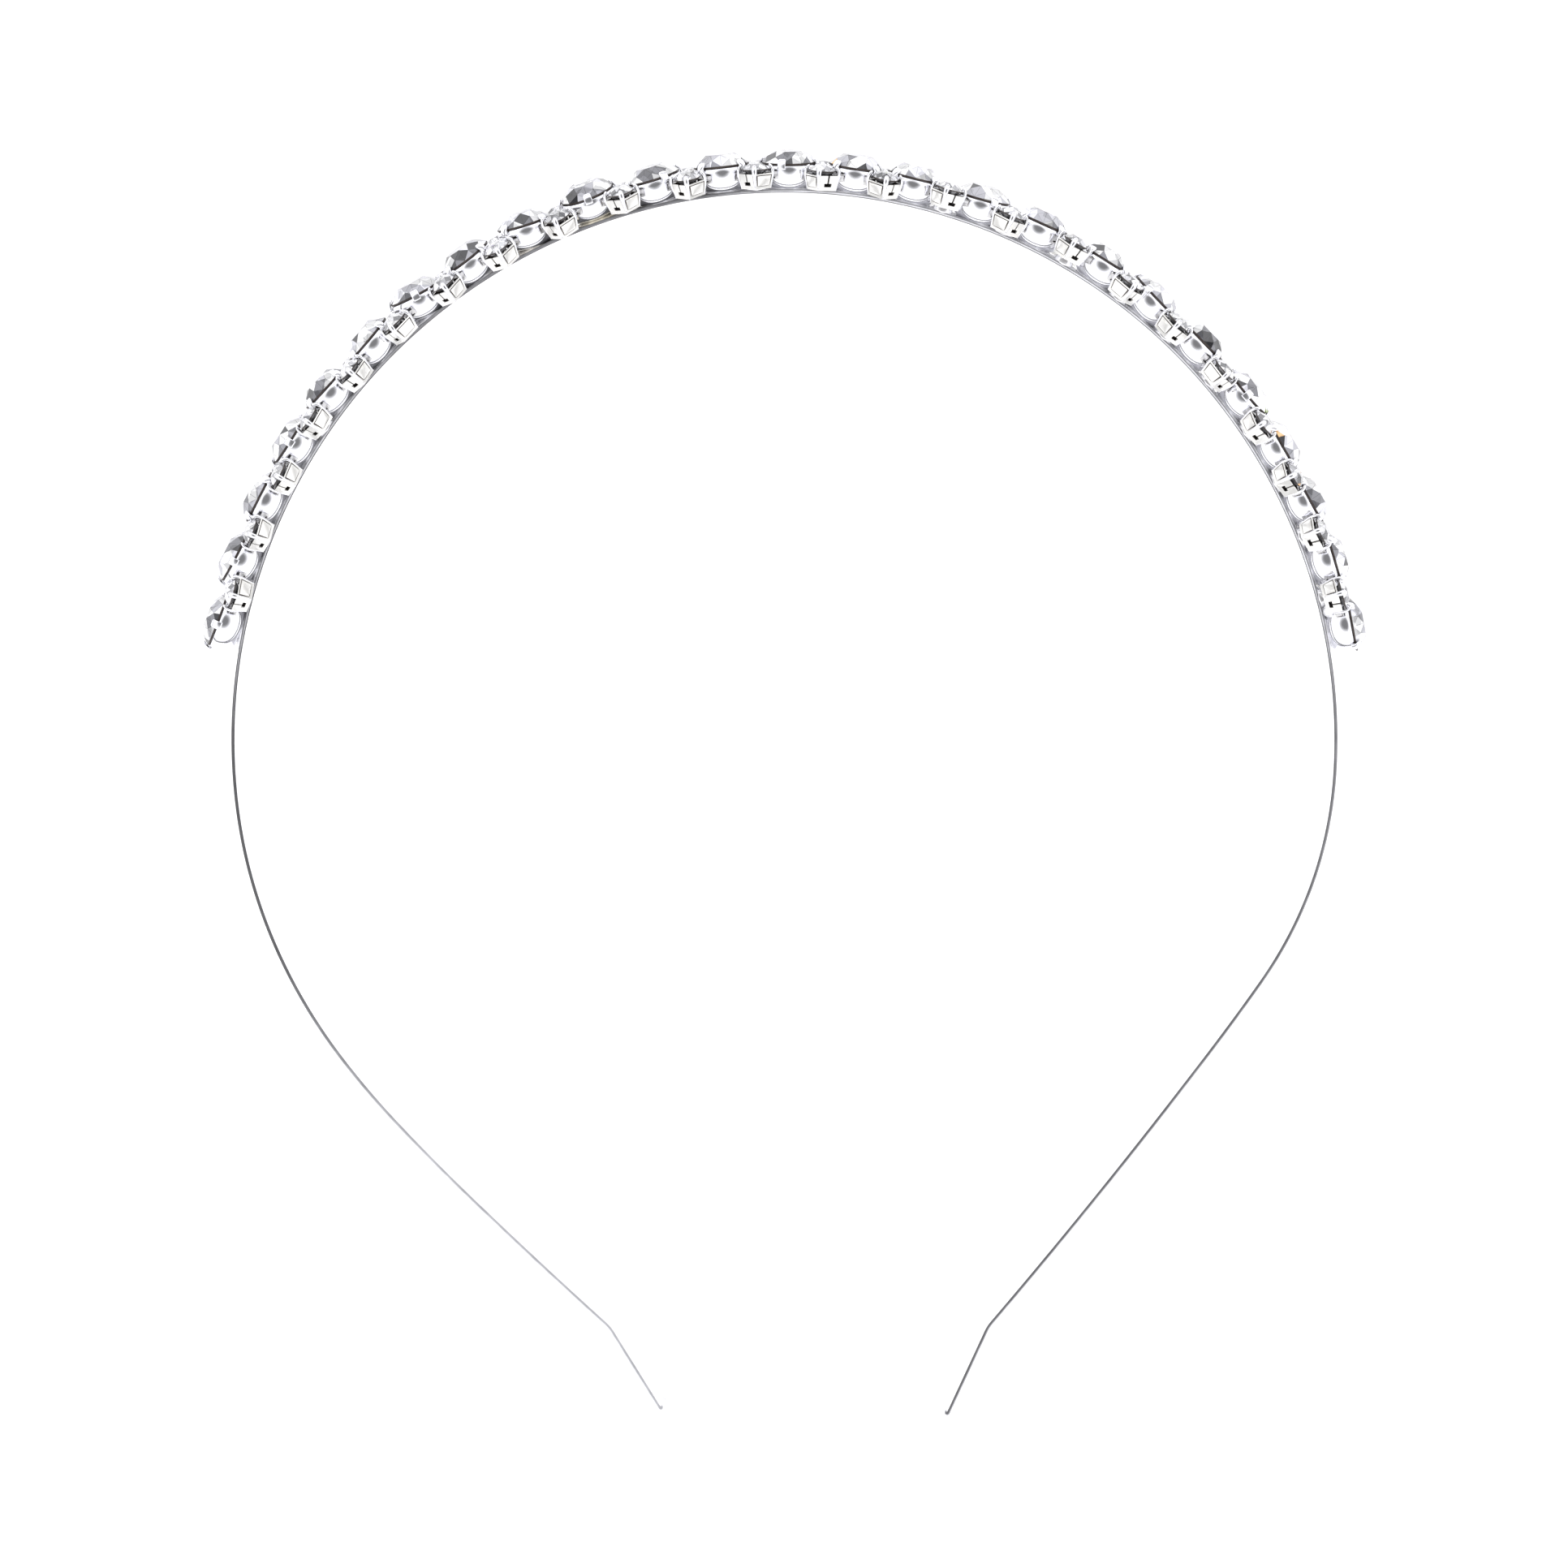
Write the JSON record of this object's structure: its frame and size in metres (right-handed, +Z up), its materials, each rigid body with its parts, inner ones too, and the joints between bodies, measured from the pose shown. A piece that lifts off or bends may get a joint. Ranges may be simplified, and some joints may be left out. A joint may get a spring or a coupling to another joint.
{
  "type": "crystal headband",
  "caption": "Arched metal headband with round cut stones in cups along its outer face and a small stone in a square cup at each side of every gap",
  "frame": {"origin": "middle of the footprint, on the surface that the headband lies on", "axes": "+Z up, across the strip, with the headband lying on its side; +Y from the tips towards the top of the arch; +X to the right as the picture shows it"},
  "size_m": [0.1288, 0.141, 0.0117],
  "materials": {
    "silver_plate": "polished silver plate, lightly scratched along the strip",
    "large_crystal": "clear cut glass with a silver foil back",
    "small_crystal": "clear cut glass with a silver foil back"
  },
  "bodies": {
    "root": {"frame": "silver_plate", "large_stone_01": "large_crystal", "large_stone_02": "large_crystal", "large_stone_03": "large_crystal", "large_stone_04": "large_crystal", "large_stone_05": "large_crystal", "large_stone_06": "large_crystal", "large_stone_07": "large_crystal", "large_stone_08": "large_crystal", "large_stone_09": "large_crystal", "large_stone_10": "large_crystal", "large_stone_11": "large_crystal", "large_stone_12": "large_crystal", "large_stone_13": "large_crystal", "large_stone_14": "large_crystal", "large_stone_15": "large_crystal", "large_stone_16": "large_crystal", "large_stone_17": "large_crystal", "large_stone_18": "large_crystal", "large_stone_19": "large_crystal", "large_stone_20": "large_crystal", "large_stone_21": "large_crystal", "large_stone_22": "large_crystal", "large_stone_23": "large_crystal", "large_stone_24": "large_crystal", "large_stone_25": "large_crystal", "small_stones_upper": "small_crystal", "small_stones_lower": "small_crystal"}
  },
  "joints": []
}
